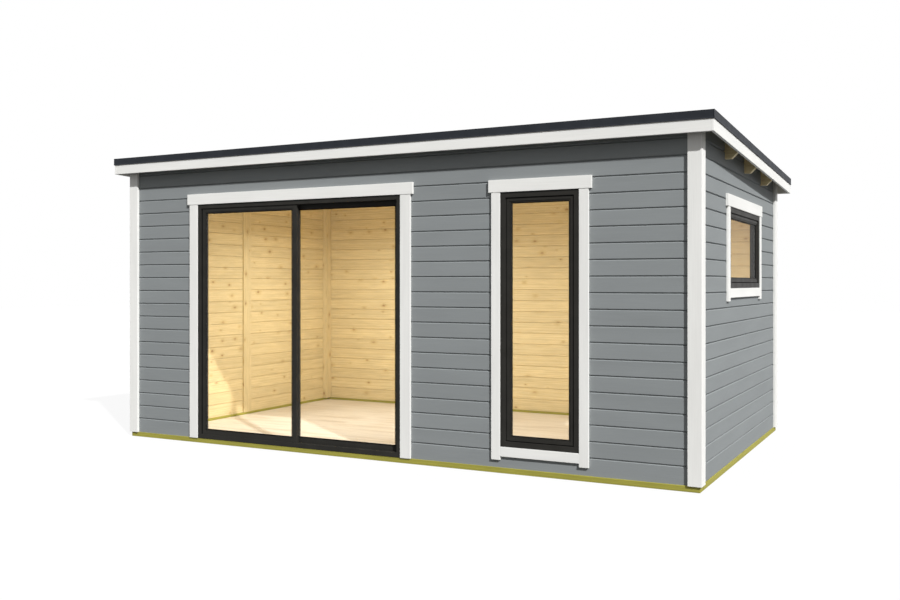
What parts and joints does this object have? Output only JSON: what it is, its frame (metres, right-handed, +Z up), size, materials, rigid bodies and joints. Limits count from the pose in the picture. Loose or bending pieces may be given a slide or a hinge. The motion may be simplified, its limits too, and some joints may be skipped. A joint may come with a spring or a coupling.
{
  "type": "garden office pod",
  "caption": "Timber garden room with grey board walls, white trims, a low mono-pitch roof, a sliding glass door, a tall front window and a high side window.",
  "frame": {"origin": "ground level, in the middle of the roof's outline", "axes": "+X along the front to the right, +Y from the front to the back, +Z up"},
  "size_m": [5.298, 3.277, 2.4811],
  "materials": {
    "treated_wood": "pressure-treated planed timber",
    "floor_sheet": "smooth pale sheet",
    "grey_boards": "satin grey paint outside, bare spruce inside",
    "bare_wood": "bare planed spruce",
    "white_trim": "satin white paint",
    "dark_frame": "matt powder coat",
    "glass": "clear double glazing",
    "roof_felt": "dark mineral roofing felt",
    "edge_strip": "matt coated sheet"
  },
  "bodies": {
    "building": {"base_beams_front_back": "treated_wood", "base_beams_sides": "treated_wood", "floor": "floor_sheet", "front_wall_left": "grey_boards", "front_wall_over_door": "grey_boards", "front_wall_middle": "grey_boards", "front_wall_under_window": "grey_boards", "front_wall_over_window": "grey_boards", "front_wall_right": "grey_boards", "left_wall": "grey_boards", "back_wall": "grey_boards", "right_wall_front": "grey_boards", "right_wall_under_window": "grey_boards", "right_wall_over_window": "grey_boards", "right_wall_back": "grey_boards", "corner_posts": "bare_wood", "left_wall_cover_board": "bare_wood", "corner_boards_front_back": "white_trim", "corner_boards_sides": "white_trim", "door_jambs": "dark_frame", "door_head": "dark_frame", "door_sill": "dark_frame", "fixed_leaf_frame": "dark_frame", "fixed_leaf_glass": "glass", "door_side_trims": "white_trim", "door_lintel_trim": "white_trim", "front_window_frame": "dark_frame", "front_window_sash": "dark_frame", "front_window_glass": "glass", "front_window_side_trims": "white_trim", "front_window_cross_trims": "white_trim", "side_window_frame": "dark_frame", "side_window_sash": "dark_frame", "side_window_glass": "glass", "side_window_side_trims": "white_trim", "side_window_cross_trims": "white_trim", "purlins": "bare_wood", "roof_boards": "bare_wood", "roof_covering": "roof_felt", "eaves_fascias": "white_trim", "side_fascias": "white_trim", "eaves_edge_strips": "edge_strip", "side_edge_strips": "edge_strip"},
    "sliding_leaf": {"sliding_leaf_frame": "dark_frame", "sliding_leaf_glass": "glass", "sliding_leaf_rollers": "dark_frame"}
  },
  "joints": [
    {"name": "door_slide", "type": "slide", "parent": "building", "child": "sliding_leaf", "axis": [-1, 0, 0], "range_m": [0, 0.9]}
  ]
}
